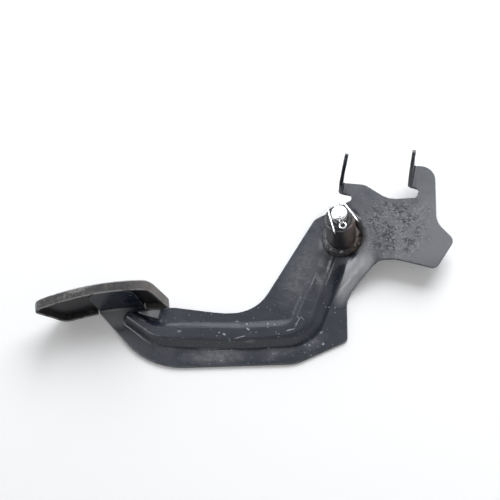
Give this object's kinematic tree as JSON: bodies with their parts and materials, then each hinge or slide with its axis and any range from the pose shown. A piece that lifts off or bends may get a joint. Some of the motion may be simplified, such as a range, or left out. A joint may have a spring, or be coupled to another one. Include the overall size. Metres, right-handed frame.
{
  "type": "accelerator pedal",
  "caption": "Stamped steel accelerator pedal arm with a pressed bead, welded pivot tube with its pin and split pin, two bent ears and a rubber foot pad.",
  "frame": {"origin": "on the pivot axis, at the outer face of the pivot pin's head, which is level with the surface that the pedal lies on", "axes": "+Z along the pivot axis, up from the lying surface towards the pin's free end; +X away from the foot pad, along the pedal's length; +Y towards the side that the foot presses"},
  "size_m": [0.2654, 0.132, 0.0494],
  "materials": {
    "black_paint": "gloss black paint over sheet steel, dusty and scuffed",
    "boss_paint": "black paint over steel, with rust showing through",
    "dark_nylon": "worn dark nylon",
    "zinc_plate": "bright zinc plate",
    "black_rubber": "moulded rubber, dusty"
  },
  "bodies": {
    "pedal": {"pedal_arm": "black_paint", "pivot_boss": "boss_paint", "upper_bush": "dark_nylon", "lower_bush": "dark_nylon", "pad_plate": "boss_paint", "pad_cover": "black_rubber"},
    "pin": {"pivot_pin": "zinc_plate", "split_pin": "zinc_plate"}
  },
  "joints": [
    {"name": "pin_turn", "type": "hinge", "parent": "pedal", "child": "pin", "pos_m": [0, 0, 0], "axis": [0, 0, 1], "continuous": true}
  ]
}
